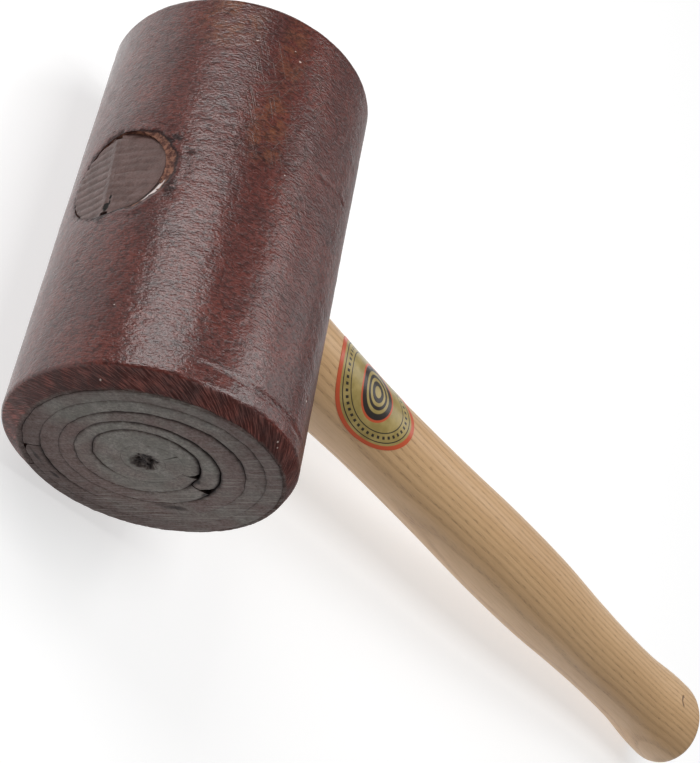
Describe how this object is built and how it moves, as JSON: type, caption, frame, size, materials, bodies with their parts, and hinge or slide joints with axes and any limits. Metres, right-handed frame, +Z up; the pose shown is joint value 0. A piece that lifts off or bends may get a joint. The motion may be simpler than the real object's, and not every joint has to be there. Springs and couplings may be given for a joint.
{
  "type": "rawhide mallet",
  "caption": "Soft-faced mallet: a chamfered cylindrical head wound from hide strips, on a wedged oval ash handle, lying on its side.",
  "frame": {"origin": "centre of the front striking face", "axes": "-Y out of the front striking face, +Y along the head to the rear face, +X along the head's side towards the grip, +Z up as the mallet lies on its side on the plane z = -35 mm; the handle slopes down by the few degrees that bring its butt to that plane"},
  "size_m": [0.346, 0.12, 0.07],
  "materials": {
    "lacquered_hide": "gloss lacquer over grained hide",
    "worn_hide": "sawn and worn end grain of hide, matte",
    "ash": "thin satin varnish",
    "wedge_wood": "end grain under lacquer",
    "label_foil": "printed gold foil paper, satin"
  },
  "bodies": {
    "root": {"core_roll_front": "worn_hide", "core_roll_rear": "worn_hide", "hide_strip_1_front": "worn_hide", "hide_strip_1_rear": "worn_hide", "hide_strip_2": "worn_hide", "hide_strip_3": "worn_hide", "hide_strip_4": "worn_hide", "hide_strip_5": "worn_hide", "hide_strip_6": "lacquered_hide", "handle": "ash", "wedge": "wedge_wood", "label": "label_foil"}
  },
  "joints": []
}
